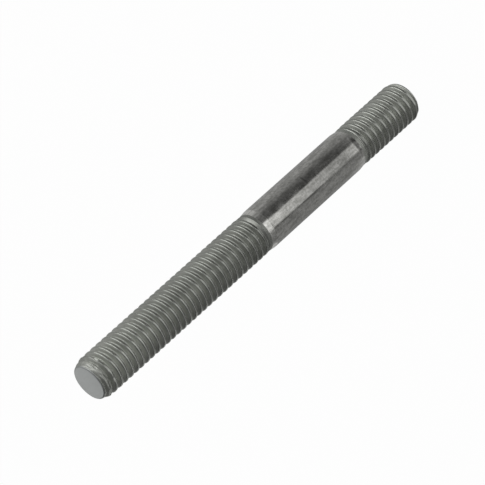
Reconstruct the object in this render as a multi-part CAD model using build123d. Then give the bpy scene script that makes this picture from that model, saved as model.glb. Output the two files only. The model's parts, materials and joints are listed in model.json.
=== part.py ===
from build123d import *
import os

# A double-ended wheel stud: one round steel bar, turned and rolled as one piece.
# The short thread screws into the hub. The long one passes through the wheel and takes its nut.
# The stud stands on its hub end, with its axis on Z and the hub end face at z = 0. Sizes are in millimetres.

# Lengths along the stud, each thread measured from its end face to its neck
hub_thread_length = 18.6
shank_length = 31.1
nut_thread_length = 50.3

# Shank, a little thicker than the threads, and the cones at its two ends that come down to the necks
shank_diameter = 9.525
hub_shoulder_length = 1.6
nut_shoulder_length = 1.8
shoulder_rounding = 3.0

# Threads, both 3/8 inch with 16 turns to the inch, right-handed, and drawn here at their crests
crest_diameter = 9.39
crest_fade_length = 1.5

# Necks between threads and shank, shallow dips where the rolled threads run out
neck_diameter = 9.05
neck_rounding = 3.0

# End faces, and the cones that lead each thread into its hole or nut
hub_face_diameter = 8.36
hub_lead_length = 1.3
nut_face_diameter = 7.86
nut_lead_length = 2.0
face_rounding = 0.5

# Radii and heights worked out from the sizes above
shank_radius = shank_diameter / 2
crest_radius = crest_diameter / 2
neck_radius = neck_diameter / 2
hub_face_radius = hub_face_diameter / 2
nut_face_radius = nut_face_diameter / 2
hub_neck_height = hub_thread_length
nut_neck_height = hub_neck_height + shank_length
overall_length = nut_neck_height + nut_thread_length

# Half of the stud's section from the hub end up, with the radius, height and rounding of each corner
section_corners = [
    (0, 0, 0),
    (hub_face_radius, 0, face_rounding),
    (crest_radius, hub_lead_length, 0),
    (crest_radius, hub_neck_height - crest_fade_length, 0),
    (neck_radius, hub_neck_height, neck_rounding),
    (shank_radius, hub_neck_height + hub_shoulder_length, shoulder_rounding),
    (shank_radius, nut_neck_height - nut_shoulder_length, shoulder_rounding),
    (neck_radius, nut_neck_height, neck_rounding),
    (crest_radius, nut_neck_height + crest_fade_length, 0),
    (crest_radius, overall_length - nut_lead_length, 0),
    (nut_face_radius, overall_length, face_rounding),
    (0, overall_length, 0),
]


def turned(corners):
    """A solid turned about Z, from the corners of its half section."""
    places = [(radius, height) for radius, height, rounding in corners]
    roundings = [rounding for radius, height, rounding in corners]
    outline = FilletPolyline(*places, radius=roundings, close=True)
    return revolve(Plane.XZ * make_face(outline), Axis.Z)


stud = turned(section_corners)

os.makedirs("parts", exist_ok=True)
export_step(stud, "parts/stud.step")
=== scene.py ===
import json
import math

import bmesh
import bpy
import numpy as np
from mathutils import Matrix, Vector, noise


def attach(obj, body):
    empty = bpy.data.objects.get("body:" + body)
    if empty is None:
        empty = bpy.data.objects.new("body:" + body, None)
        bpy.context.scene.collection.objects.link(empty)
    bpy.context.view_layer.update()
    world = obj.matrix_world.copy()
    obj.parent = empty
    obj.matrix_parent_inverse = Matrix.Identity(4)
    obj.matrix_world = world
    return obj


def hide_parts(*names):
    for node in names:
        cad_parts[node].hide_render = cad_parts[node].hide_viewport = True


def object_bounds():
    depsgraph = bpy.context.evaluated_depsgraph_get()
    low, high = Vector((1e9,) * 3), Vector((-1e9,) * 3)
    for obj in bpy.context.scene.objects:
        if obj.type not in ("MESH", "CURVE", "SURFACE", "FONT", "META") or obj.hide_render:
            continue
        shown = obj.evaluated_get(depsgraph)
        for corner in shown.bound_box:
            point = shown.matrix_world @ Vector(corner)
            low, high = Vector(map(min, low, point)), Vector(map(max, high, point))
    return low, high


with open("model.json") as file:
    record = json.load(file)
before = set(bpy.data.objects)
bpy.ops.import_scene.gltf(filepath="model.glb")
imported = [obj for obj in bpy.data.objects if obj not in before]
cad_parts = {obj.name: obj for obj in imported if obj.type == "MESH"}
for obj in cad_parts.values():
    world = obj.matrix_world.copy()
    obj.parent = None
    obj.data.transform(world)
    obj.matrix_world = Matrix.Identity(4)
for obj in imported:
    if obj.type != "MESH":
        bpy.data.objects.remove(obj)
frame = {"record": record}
cad_low, cad_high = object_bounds()
scene = bpy.context.scene
mm = 0.001

# Camera
# A long lens, half a metre away and higher than the nut end. It is rolled, so that the upright stud lies
# across the picture with its nut end at the lower left.
picture_pixels = 485
focal_pixels = 2734
sensor_width_mm = 36.0
camera_distance = 553.8 * mm
camera_elevation = math.radians(30.65)
camera_aim = Vector((0.35 * mm, 0, 53.08 * mm))

# How far the nut end points right and up in the picture
stud_rightwards_share = -0.7435
stud_upwards_share = -0.6688

towards_camera = Vector((0, -math.cos(camera_elevation), math.sin(camera_elevation)))
stud_in_view = Vector((0, math.sin(camera_elevation), math.cos(camera_elevation)))
across_view = towards_camera.cross(stud_in_view)
camera_right = stud_rightwards_share * stud_in_view - stud_upwards_share * across_view
camera_up = stud_upwards_share * stud_in_view + stud_rightwards_share * across_view
camera_turn = Matrix((camera_right, camera_up, towards_camera)).transposed().to_4x4()

lens = bpy.data.cameras.new("camera")
lens.sensor_width = sensor_width_mm
lens.lens = focal_pixels / picture_pixels * sensor_width_mm
camera = bpy.data.objects.new("camera", lens)
camera.matrix_world = Matrix.Translation(camera_aim + camera_distance * towards_camera) @ camera_turn
scene.collection.objects.link(camera)
scene.camera = camera

# Outline of the stud
# One steel bar, turned to this outline: end faces with rounded edges, lead cones, the cylinders over the
# threads' crests, necks, shoulder cones and the shank. The record's mounts place its three round walls.
mounts = {mount["name"]: mount for mount in frame["record"]["mounts"]}


def wall(name):
    """The radius, lowest and highest point of one of the stud's round walls."""
    middle = mounts[name]["pos_m"][2]
    half_length = mounts[name]["dims"]["length_mm"] * mm / 2
    return mounts[name]["dims"]["r_mm"] * mm, middle - half_length, middle + half_length


crest_radius, hub_lead_end, hub_fade_start = wall("hub_thread")
crest_radius, nut_fade_start, nut_lead_end = wall("nut_thread")
shank_radius, shank_low, shank_high = wall("shank")
stud_height = cad_high.z
neck_radius = 4.525 * mm
crest_fade_length = 1.5 * mm
nut_shoulder_length = 1.8 * mm
hub_face_radius = 4.18 * mm
nut_face_radius = 3.93 * mm

# The length along its sides that each rounded corner takes
hub_face_rounding = 0.340 * mm
hub_neck_rounding = 0.393 * mm
hub_shoulder_rounding = 0.221 * mm
nut_shoulder_rounding = 0.05 * mm
nut_neck_rounding = 0.368 * mm
nut_face_rounding = 0.24 * mm
outline_segments = 6

hub_neck = hub_fade_start + crest_fade_length
nut_neck = nut_fade_start - crest_fade_length
outline_corners = [
    (0, 0, 0),
    (hub_face_radius, 0, hub_face_rounding),
    (crest_radius, hub_lead_end, 0),
    (crest_radius, hub_fade_start, 0),
    (neck_radius, hub_neck, hub_neck_rounding),
    (shank_radius, shank_low - hub_shoulder_rounding, hub_shoulder_rounding),
    (shank_radius, nut_neck - nut_shoulder_length, nut_shoulder_rounding),
    (neck_radius, nut_neck, nut_neck_rounding),
    (crest_radius, nut_fade_start, 0),
    (crest_radius, nut_lead_end, 0),
    (nut_face_radius, stud_height, nut_face_rounding),
    (0, stud_height, 0),
]


def rounded_wire(bm, corners, segments):
    """A line of edges in the XZ plane, with its corners given as radius, height and rounding."""
    places = [bm.verts.new((radius, 0, height)) for radius, height, rounding in corners]
    for low, high in zip(places, places[1:]):
        bm.edges.new((low, high))
    for place, (radius, height, rounding) in zip(places, corners):
        if rounding:
            bmesh.ops.bevel(bm, geom=[place], offset=rounding, offset_type="OFFSET", segments=segments,
                            profile=0.5, affect="VERTICES", material=-1)


outline = bmesh.new()
rounded_wire(outline, outline_corners, outline_segments)
outline_points = sorted((place.co.z, place.co.x) for place in outline.verts)
outline.free()
outline_heights = [height for height, radius in outline_points]
outline_radii = [radius for height, radius in outline_points]

# Rolled threads
# Two right-hand threads of 3/8 inch with 16 turns to the inch, rolled into the steel bar by dies. The metal
# flows up into rounded crests, the grooves run out at the necks and leads, and the nut end has small knocks.
pitch = 1.5875 * mm
crest_flat = 0.50 * mm
flank_angle = math.radians(30)
crest_rounding = 0.17 * mm
root_rounding = 0.364 * mm

# The height of one crest of each thread at the front, a quarter turn back from where the helix starts
hub_crest_height = 17.44 * mm
nut_crest_height = 51.20 * mm

# The lengths in which the grooves deepen at the ends and run out, and the smooth ones beside the necks
hub_lead_in = 0.35 * mm
nut_lead_in = 1.1 * mm
run_out = 1.2 * mm
smooth_length = 0.35 * mm

# Knocks in the first turns at the nut end
dent_depth = 0.40 * mm
dent_size = 0.45 * mm
dented_length = 4.0 * mm

# Fineness of the mesh, and the turns of it below the hub end face, which are cut off there
groove_segments = 4
flank_cuts = 1
steps_each_turn = 72
turns_below = 2
doubles_distance = 0.002 * mm

flank_height = (pitch - crest_flat) / 2
groove_depth = flank_height / math.tan(flank_angle)
groove_corners = [
    (crest_radius, 0, 0),
    (crest_radius, crest_flat / 2, crest_rounding),
    (crest_radius - groove_depth, pitch / 2, root_rounding),
    (crest_radius, pitch - crest_flat / 2, crest_rounding),
    (crest_radius, pitch, 0),
]
first_crest = (hub_crest_height + pitch / 4) % pitch - turns_below * pitch
turns = math.ceil(stud_height / pitch) + turns_below

stud_mesh = bmesh.new()
rounded_wire(stud_mesh, groove_corners, groove_segments)
flanks = [edge for edge in stud_mesh.edges if edge.calc_length() > flank_height / 2]
bmesh.ops.subdivide_edges(stud_mesh, edges=flanks, cuts=flank_cuts)
bmesh.ops.translate(stud_mesh, vec=(0, 0, first_crest), verts=stud_mesh.verts)
bmesh.ops.spin(stud_mesh, geom=stud_mesh.verts[:] + stud_mesh.edges[:], cent=(0, 0, 0), axis=(0, 0, 1),
               dvec=(0, 0, pitch / steps_each_turn), angle=math.tau, steps=steps_each_turn)
one_turn = stud_mesh.verts[:] + stud_mesh.edges[:] + stud_mesh.faces[:]
for turn in range(1, turns):
    copied = bmesh.ops.duplicate(stud_mesh, geom=one_turn)["geom"]
    copied_places = [part for part in copied if isinstance(part, bmesh.types.BMVert)]
    bmesh.ops.translate(stud_mesh, vec=(0, 0, turn * pitch), verts=copied_places)
bmesh.ops.remove_doubles(stud_mesh, verts=stud_mesh.verts, dist=doubles_distance)


def cut_across(height, **options):
    """Cuts the stud's mesh across at one height."""
    stud_parts = stud_mesh.verts[:] + stud_mesh.edges[:] + stud_mesh.faces[:]
    bmesh.ops.bisect_plane(stud_mesh, geom=stud_parts, dist=0, plane_co=(0, 0, height), **options)


# Rings of edges at the corners of necks and shoulders, cut before the nut thread is slid to its own crests
nut_thread_slide = (nut_crest_height - hub_crest_height) % pitch
for height in outline_heights:
    if hub_fade_start < height < nut_fade_start:
        cut_across(height - nut_thread_slide * (height > shank_high), plane_no=(0, 0, 1))

# The grooves have their whole depth along the threads, and none on the shank and beside the end faces
hub_lead_length = math.hypot(hub_lead_end, crest_radius - hub_face_radius)
nut_lead_length = math.hypot(stud_height - nut_lead_end, crest_radius - nut_face_radius)
hub_rim = hub_face_rounding * hub_lead_end / hub_lead_length
nut_rim = stud_height - nut_face_rounding * (stud_height - nut_lead_end) / nut_lead_length
hub_thread_end = hub_neck - smooth_length
nut_thread_end = nut_neck + smooth_length
groove_heights = [hub_rim, hub_rim + hub_lead_in, hub_thread_end - run_out, hub_thread_end,
                  nut_thread_end, nut_thread_end + run_out, nut_rim - nut_lead_in, nut_rim]
groove_shares = [0, 1, 1, 0, 0, 1, 1, 0]
dent_heights = [nut_rim - dented_length, nut_rim - dented_length / 2, nut_rim - dent_size, nut_rim]

heights = np.array([place.co.z for place in stud_mesh.verts])
heights += nut_thread_slide * np.interp(heights, [shank_low, shank_high], [0, 1])
radii = np.array([place.co.xy.length for place in stud_mesh.verts])
bar_radii = np.interp(heights, outline_heights, outline_radii)
groove_floors = bar_radii - groove_depth * np.interp(heights, groove_heights, groove_shares)
shaped_radii = np.maximum(groove_floors, np.minimum(radii, bar_radii))
dent_shares = np.interp(heights, dent_heights, [0, 1, 1, 0])
shaping = zip(stud_mesh.verts, heights, radii, shaped_radii, dent_shares)
for place, height, radius, shaped_radius, dent_share in shaping:
    place.co = (place.co.x * shaped_radius / radius, place.co.y * shaped_radius / radius, height)
    if dent_share > 0:
        dent = dent_depth * dent_share * max(0, noise.noise(place.co / dent_size))
        place.co.xy *= 1 - dent / shaped_radius

# End faces
# The flat steel faces where the bar was sheared to length, with rounded edges that meet the lead cones.
# The hub one is what the stud stands on.
cut_across(hub_rim, plane_no=(0, 0, -1), clear_outer=True)
cut_across(nut_rim, plane_no=(0, 0, 1), clear_outer=True)


def close_end(rim_height, rings):
    """Rolls an open edge over through rings of radius and height, and closes it with a flat face."""
    edge_loop = [edge for edge in stud_mesh.edges
                 if edge.is_boundary and abs(edge.verts[0].co.z - rim_height) < doubles_distance]
    last_radius, last_height = edge_loop[0].verts[0].co.xy.length, rim_height
    for radius, height in rings:
        grown = bmesh.ops.extrude_edge_only(stud_mesh, edges=edge_loop)["geom"]
        ring = [part for part in grown if isinstance(part, bmesh.types.BMVert)]
        bmesh.ops.scale(stud_mesh, vec=(radius / last_radius, radius / last_radius, 1), verts=ring)
        bmesh.ops.translate(stud_mesh, vec=(0, 0, height - last_height), verts=ring)
        edge_loop = [part for part in grown if isinstance(part, bmesh.types.BMEdge) and part.is_boundary]
        last_radius, last_height = radius, height
    bmesh.ops.edgeloop_fill(stud_mesh, edges=edge_loop)


hub_rings = [(radius, height) for height, radius in outline_points
             if radius > 0 and height < hub_rim - doubles_distance]
nut_rings = [(radius, height) for height, radius in outline_points
             if radius > 0 and height > nut_rim + doubles_distance]
close_end(hub_rim, sorted(hub_rings, key=lambda ring: -ring[0]))
close_end(nut_rim, sorted(nut_rings, key=lambda ring: -ring[0]))
bmesh.ops.recalc_face_normals(stud_mesh, faces=stud_mesh.faces)

# Steel of the stud
# Plain uncoated steel. The rolled threads are satin and smoother and darker on their crests; their flanks
# are painted paler to offset the shade in the grooves, whose bottoms have painted shade. The drawn shank is
# smoother, and the sheared end faces are pale.
thread_slot, shank_slot, face_slot = 0, 1, 2

# Each noise is given by its cells to the metre and its detail, and its values lie about this middle
noise_middle = 0.5

# Rolled threads, by the share of the way from the bottom of the grooves to the crests: painted shade at the
# groove bottoms, flanks painted paler against their shade, and darker crests
thread_tones_and_painted_shade = [(0.05, (0.24, 0.25, 0.225)), (0.30, (0.42, 0.43, 0.40)), (0.75, (0.41, 0.42, 0.39)),
                  (0.95, (0.31, 0.32, 0.295))]
thread_roughness = [(0.5, 0.42), (0.95, 0.27)]
thread_grain = (2200, 4)
thread_grain_share = 0.25
thread_grain_depth = 0.012 * mm
thread_patches = (260, 2)
thread_patch_levels = [(0.3, 0.88), (0.7, 1.12)]

# Rolled threads, by the share of the stud's height: painted light and shade, lighter on the hub thread and
# towards the nut end and darker at the necks, and the dull leads and necks
hub_brightness = 1.25
neck_brightness = 0.85
nut_brightness = 1.12
end_brightness = 1.34
lead_brightness = 1.05
painted_light_along = [(0.18, hub_brightness), (0.49, neck_brightness), (0.502, neck_brightness),
                    (0.514, nut_brightness), (0.80, nut_brightness), (0.92, end_brightness),
                    (0.965, end_brightness), (0.98, lead_brightness)]
dull_along = [(0.006, 1.0), (0.014, 0.0), (0.177, 0.0), (0.183, 1.0), (0.502, 1.0), (0.508, 0.0),
              (0.972, 0.0), (0.984, 1.0)]
dull_roughness = (0.5, 0.5, 0.5, 1.0)

# Drawn shank, whose streaks are a noise that is stretched along it
shank_colours = [(0.14, (0.445, 0.445, 0.42)), (0.36, (0.745, 0.74, 0.71))]
shank_roughness = [(0.35, 0.12), (0.65, 0.22)]
shank_streaks = (1700, 3)
shank_streak_scale = (1, 1, 0.2)
shank_grain = (1900, 3)
shank_patches = (330, 2)
shank_grain_depth = 0.004 * mm

# Dark marks on the shank, and what each leaves of the colour from its middle out: a smudge, and painted
# shade in the corner of the hub shoulder
smudge_place = (1.47 * mm, -4.53 * mm, 34.95 * mm)
smudge_reach = (2.2 * mm, 2.2 * mm, 0.45 * mm)
smudge_levels = [(0.5, 0.55), (1.2, 1.0)]
# Painted shade in the corner of the hub shoulder
shoulder_shade_place = (-0.20 * mm, -4.70 * mm, 19.55 * mm)
shoulder_shade_reach = (3.2 * mm, 3.2 * mm, 1.2 * mm)
shoulder_shade_levels = [(0.60, 0.25), (1.2, 1.0)]
mark_edges = (1300, 2)
mark_raggedness = 0.5

# Sheared end faces, whose straight marks are a stretched noise too
face_colours = [(0.3, (0.40, 0.415, 0.41)), (0.7, (0.47, 0.485, 0.475))]
face_roughness = [(0.3, 0.32), (0.7, 0.42)]
face_marks = (1800, 3)
face_mark_scale = (1, 0.15, 1)
face_mark_depth = 0.002 * mm


def add_node(tree, kind, inputs, **settings):
    """A shader node with its settings, and its inputs given a value or linked to another node's output."""
    node = tree.nodes.new("ShaderNode" + kind)
    for name, value in settings.items():
        setattr(node, name, value)
    for name, value in inputs.items():
        if isinstance(value, bpy.types.NodeSocket):
            tree.links.new(value, node.inputs[name])
        else:
            node.inputs[name].default_value = value
    return node


def add_ramp(tree, source, stops):
    """Colours that follow a value, from stops of position and grey level or colour."""
    ramp = add_node(tree, "ValToRGB", {"Fac": source})
    while len(ramp.color_ramp.elements) < len(stops):
        ramp.color_ramp.elements.new(1.0)
    for element, (position, colour) in zip(ramp.color_ramp.elements, stops):
        element.position = position
        element.color = (*colour, 1.0) if isinstance(colour, tuple) else (colour, colour, colour, 1.0)
    return ramp.outputs["Color"]


def add_noise(tree, coordinates, cells, detail):
    """Uneven values, from a noise with this many cells to the metre."""
    inputs = {"Vector": coordinates, "Scale": cells, "Detail": detail}
    return add_node(tree, "TexNoise", inputs).outputs["Fac"]


def add_math(tree, operation, *values):
    """The result of a calculation with numbers."""
    return add_node(tree, "Math", dict(enumerate(values)), operation=operation).outputs["Value"]


def add_vector_math(tree, operation, *values):
    """The result of a calculation with vectors or colours, which is a vector."""
    return add_node(tree, "VectorMath", dict(enumerate(values)), operation=operation).outputs["Vector"]


def add_length(tree, vector):
    """The length of a vector."""
    return add_node(tree, "VectorMath", {0: vector}, operation="LENGTH").outputs["Value"]


def mix_colours(tree, share, first, second, blend_type="MIX"):
    """Two colours mixed. A Mix node takes colours at its inputs 6 and 7, and gives one at its output 2."""
    inputs = {"Factor": share, 6: first, 7: second}
    return add_node(tree, "Mix", inputs, data_type="RGBA", blend_type=blend_type).outputs[2]


def new_steel(name):
    """A metal material, its node tree and the stud's own coordinates in it."""
    material = bpy.data.materials.new(name)
    material.use_nodes = True
    tree = material.node_tree
    tree.nodes["Principled BSDF"].inputs["Metallic"].default_value = 1.0
    coordinates = add_node(tree, "TexCoord", {}).outputs["Object"]
    return material, tree, coordinates


def set_steel(tree, colour, roughness, relief, relief_depth):
    """Feeds a colour, a roughness and a fine relief to a metal's shader."""
    shader = tree.nodes["Principled BSDF"]
    bump = add_node(tree, "Bump", {"Height": relief, "Distance": relief_depth, "Strength": 1.0})
    tree.links.new(colour, shader.inputs["Base Color"])
    tree.links.new(roughness, shader.inputs["Roughness"])
    tree.links.new(bump.outputs["Normal"], shader.inputs["Normal"])


def thread_steel():
    """Satin rolled steel, by how far each place is from the axis and how high it is on the stud, with
    painted shade in the grooves and painted light and shade along its height.
    """
    material, tree, coordinates = new_steel("rolled_thread_steel")
    radius = add_length(tree, add_vector_math(tree, "MULTIPLY", coordinates, (1, 1, 0)))
    groove_range = {"Value": radius, "From Min": crest_radius - groove_depth, "From Max": crest_radius}
    height_share = add_node(tree, "MapRange", groove_range).outputs["Result"]
    grain = add_noise(tree, coordinates, *thread_grain)
    uneven = add_math(tree, "SUBTRACT", grain, noise_middle)
    groove_share_with_grain = add_math(tree, "MULTIPLY_ADD", uneven, thread_grain_share, height_share)
    height = add_node(tree, "SeparateXYZ", {"Vector": coordinates}).outputs["Z"]
    along = add_math(tree, "DIVIDE", height, stud_height)
    patchy = add_ramp(tree, add_noise(tree, coordinates, *thread_patches), thread_patch_levels)
    # Random patches of tone, times the painted light and shade along the stud
    brightness = add_vector_math(tree, "MULTIPLY", patchy, add_ramp(tree, along, painted_light_along))
    # The colour by groove depth holds painted shade at the groove bottoms and flanks painted paler against
    # it
    colour = add_vector_math(tree, "MULTIPLY", add_ramp(tree, groove_share_with_grain, thread_tones_and_painted_shade), brightness)
    satin = add_ramp(tree, groove_share_with_grain, thread_roughness)
    roughness = mix_colours(tree, add_ramp(tree, along, dull_along), satin, dull_roughness)
    set_steel(tree, colour, roughness, grain, thread_grain_depth)
    return material


def marked(tree, coordinates, colour, place, reach, levels):
    """A colour with a dark, ragged mark about one place."""
    offset = add_vector_math(tree, "SUBTRACT", coordinates, place)
    distance = add_length(tree, add_vector_math(tree, "DIVIDE", offset, reach))
    ragged = add_noise(tree, coordinates, *mark_edges)
    outwards = add_math(tree, "MULTIPLY_ADD", ragged, mark_raggedness, distance)
    return mix_colours(tree, 1.0, colour, add_ramp(tree, outwards, levels), blend_type="MULTIPLY")


def stretch(tree, coordinates, scale):
    """Coordinates in which a noise is longer where the scale is below 1."""
    return add_node(tree, "Mapping", {"Vector": coordinates, "Scale": scale}).outputs["Vector"]


def shank_steel():
    """Drawn steel with a fine grain, streaks along the shank, dull patches, a smudge and painted shade in
    the hub shoulder's corner.
    """
    material, tree, coordinates = new_steel("drawn_shank_steel")
    streaks = add_noise(tree, stretch(tree, coordinates, shank_streak_scale), *shank_streaks)
    mottle = add_math(tree, "MULTIPLY", streaks, add_noise(tree, coordinates, *shank_grain))
    mottled = add_ramp(tree, mottle, shank_colours)
    smudged = marked(tree, coordinates, mottled, smudge_place, smudge_reach, smudge_levels)
    # The second mark is painted shade in the hub shoulder's corner
    colour = marked(tree, coordinates, smudged, shoulder_shade_place, shoulder_shade_reach, shoulder_shade_levels)
    roughness = add_ramp(tree, add_noise(tree, coordinates, *shank_patches), shank_roughness)
    set_steel(tree, colour, roughness, mottle, shank_grain_depth)
    return material


def face_steel():
    """Pale sheared steel with faint straight marks."""
    material, tree, coordinates = new_steel("sheared_face_steel")
    marks = add_noise(tree, stretch(tree, coordinates, face_mark_scale), *face_marks)
    colour = add_ramp(tree, marks, face_colours)
    roughness = add_ramp(tree, marks, face_roughness)
    set_steel(tree, colour, roughness, marks, face_mark_depth)
    return material


for face in stud_mesh.faces:
    face.smooth = True
    height = face.calc_center_median().z
    on_shank = hub_neck + hub_neck_rounding < height < nut_neck - nut_neck_rounding
    on_end = height < hub_rim or height > nut_rim
    face.material_index = shank_slot if on_shank else face_slot if on_end else thread_slot

threaded_stud = bpy.data.objects.new("threaded_stud", bpy.data.meshes.new("threaded_stud"))
stud_mesh.to_mesh(threaded_stud.data)
stud_mesh.free()
for material in (thread_steel(), shank_steel(), face_steel()):
    threaded_stud.data.materials.append(material)
scene.collection.objects.link(threaded_stud)
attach(threaded_stud, "root")
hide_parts("stud")

# Floor
# A sheet of white paper. The picture sees it as white with the stud's faint shadow. For the steel's
# reflections it glows instead with painted white and grey cards that lie in rings round the stud, a painted
# reflection of a photographer's tent.
floor_radius = 3.0
floor_segments = 96
floor_colour = (0.8, 0.8, 0.8, 1.0)

# The share of plain white that the picture sees over the paper and its shadow
white_share = 0.98

# The painted cards of each ring, from the stud outwards, as grey levels along a turn from -X with the front
# at 0.25
hub_cards = [(0.0, 0.28), (0.13, 0.25), (0.15, 0.85), (0.262, 0.85), (0.29, 0.18), (0.37, 0.22),
             (0.50, 0.40)]
near_cards = [(0.0, 0.25), (0.10, 0.23), (0.12, 0.11), (0.132, 0.11), (0.147, 1.0), (0.252, 1.0),
              (0.278, 0.07), (0.37, 0.09), (0.50, 0.34), (0.70, 0.34), (0.85, 0.24)]
far_cards = [(0.0, 0.16), (0.13, 0.16), (0.17, 0.28), (0.18, 0.14), (0.19, 0.14), (0.225, 0.9), (0.275, 0.9),
             (0.30, 0.24), (0.37, 0.27), (0.50, 0.50), (0.70, 0.60), (0.90, 0.50), (0.97, 0.16)]
end_cards = [(0.0, 0.40), (0.10, 0.40), (0.12, 0.28), (0.135, 1.0), (0.262, 1.0), (0.29, 0.12), (0.37, 0.15),
             (0.50, 0.50), (0.70, 0.60), (0.90, 0.60), (0.97, 0.40)]
rim_cards = [(0.0, 0.06), (0.05, 0.06), (0.09, 0.28), (0.12, 0.28), (0.135, 1.0), (0.262, 1.0), (0.29, 0.12),
             (0.37, 0.15), (0.50, 0.45), (0.70, 0.45), (0.85, 0.06)]
edge_cards = [(0.0, 0.75), (0.262, 1.0), (0.29, 0.24), (0.37, 0.27), (0.50, 0.45), (0.70, 0.45), (0.85, 0.7)]

# Where each ring takes over from the near cards or the ring inside it, as shares of this reach from the stud
mirrored_reach = 300 * mm
card_rings = [
    (hub_cards, [(0.11, 1.0), (0.13, 0.0)]),
    (far_cards, [(0.293, 0.0), (0.307, 1.0)]),
    (end_cards, [(0.467, 0.0), (0.50, 1.0)]),
    (rim_cards, [(0.55, 0.0), (0.575, 1.0)]),
    (edge_cards, [(0.78, 0.0), (0.84, 1.0)]),
]

# The palest that the near cards are, along the same reach
near_shades = [(0.133, 0.31), (0.167, 0.44), (0.207, 0.48), (0.225, 0.58), (0.266, 0.70), (0.284, 1.0)]

floor_mesh = bmesh.new()
bmesh.ops.create_circle(floor_mesh, cap_ends=True, segments=floor_segments, radius=floor_radius)
floor = bpy.data.objects.new("floor", bpy.data.meshes.new("floor"))
floor_mesh.to_mesh(floor.data)
floor_mesh.free()
scene.collection.objects.link(floor)

floor_paper_and_painted_reflection = bpy.data.materials.new("floor_paper_and_painted_reflection")
floor_paper_and_painted_reflection.use_nodes = True
tree = floor_paper_and_painted_reflection.node_tree
tree.nodes.clear()
path = add_node(tree, "LightPath", {}).outputs
coordinates = add_node(tree, "TexCoord", {}).outputs["Object"]
around = add_node(tree, "TexGradient", {"Vector": coordinates}, gradient_type="RADIAL").outputs["Fac"]
reach = add_math(tree, "DIVIDE", add_length(tree, coordinates), mirrored_reach)
cards = mix_colours(tree, 1.0, add_ramp(tree, around, near_cards), add_ramp(tree, reach, near_shades),
                    blend_type="DARKEN")
for ring_cards, ring_share in card_rings:
    cards = mix_colours(tree, add_ramp(tree, reach, ring_share), cards, add_ramp(tree, around, ring_cards))
mirrored = add_math(tree, "MAXIMUM", path["Is Glossy Ray"], path["Is Transmission Ray"])
glow_share = add_math(tree, "MULTIPLY_ADD", path["Is Camera Ray"], white_share, mirrored)
white = add_node(tree, "Emission", {"Strength": 1.0}).outputs["Emission"]
# Painted reflection: the cards glow for glossy and transmission rays only
painted_reflection = add_node(tree, "Emission", {"Color": cards, "Strength": 1.0}).outputs["Emission"]
glow = add_node(tree, "MixShader", {0: mirrored, 1: white, 2: painted_reflection}).outputs["Shader"]
paper = add_node(tree, "BsdfDiffuse", {"Color": floor_colour}).outputs["BSDF"]
lit = add_node(tree, "MixShader", {0: glow_share, 1: paper, 2: glow}).outputs["Shader"]
add_node(tree, "OutputMaterial", {"Surface": lit})
floor.data.materials.append(floor_paper_and_painted_reflection)

# Studio light
# Five soft boxes, lamps behind white cloth, that stand round the stud and face it, in a grey room that is
# darker towards -X. The picture sees the room as white.
stud_middle = Vector((0, 0, stud_height / 2))

# The room's two levels, and how far to each side of the stud's axis they are reached
room_levels = (0.12, 0.56)
room_sides = (-0.6, 0.6)

# Name, direction from the stud, distance, width, height and level, which is 1 for white
softboxes = [
    ("side_softbox", (0.80, -0.425, 0.42), 0.7, 0.85, 0.28, 1.9),
    ("front_strip", (0.0, -0.99, 0.11), 0.7, 0.80, 0.14, 0.7),
    ("left_strip", (-0.90, -0.42, 0.12), 0.7, 0.90, 0.14, 0.3),
    ("top_softbox", (-0.5, 0.2, 0.84), 0.8, 0.50, 0.50, 0.14),
    ("back_softbox", (0.0, 0.86, 0.51), 0.8, 0.40, 0.40, 0.57),
]


def add_softbox(name, direction, distance, width, height, level):
    """A soft light that faces the stud from one direction, as bright as a card of this level."""
    light = bpy.data.lights.new(name, "AREA")
    light.shape = "RECTANGLE"
    light.size = width
    light.size_y = height
    light.energy = level * math.pi * width * height
    softbox = bpy.data.objects.new(name, light)
    towards = Vector(direction).normalized()
    softbox.matrix_world = (Matrix.Translation(stud_middle + distance * towards)
                            @ towards.to_track_quat("Z", "Y").to_matrix().to_4x4())
    scene.collection.objects.link(softbox)


for softbox in softboxes:
    add_softbox(*softbox)

room = bpy.data.worlds.new("room")
room.use_nodes = True
tree = room.node_tree
tree.nodes.clear()
path = add_node(tree, "LightPath", {}).outputs
direction = add_node(tree, "TexCoord", {}).outputs["Generated"]
aside = add_node(tree, "SeparateXYZ", {"Vector": direction}).outputs["X"]
room_range = {"Value": aside, "From Min": room_sides[0], "From Max": room_sides[1],
              "To Min": room_levels[0], "To Max": room_levels[1]}
room_level = add_node(tree, "MapRange", room_range).outputs["Result"]
seen = add_math(tree, "MAXIMUM", path["Is Camera Ray"], path["Is Transmission Ray"])
level = add_node(tree, "MapRange", {"Value": seen, "To Min": room_level, "To Max": 1.0}).outputs["Result"]
sky = add_node(tree, "Background", {"Strength": level}).outputs["Background"]
add_node(tree, "OutputWorld", {"Surface": sky})
scene.world = room

scene.view_settings.view_transform = "Standard"
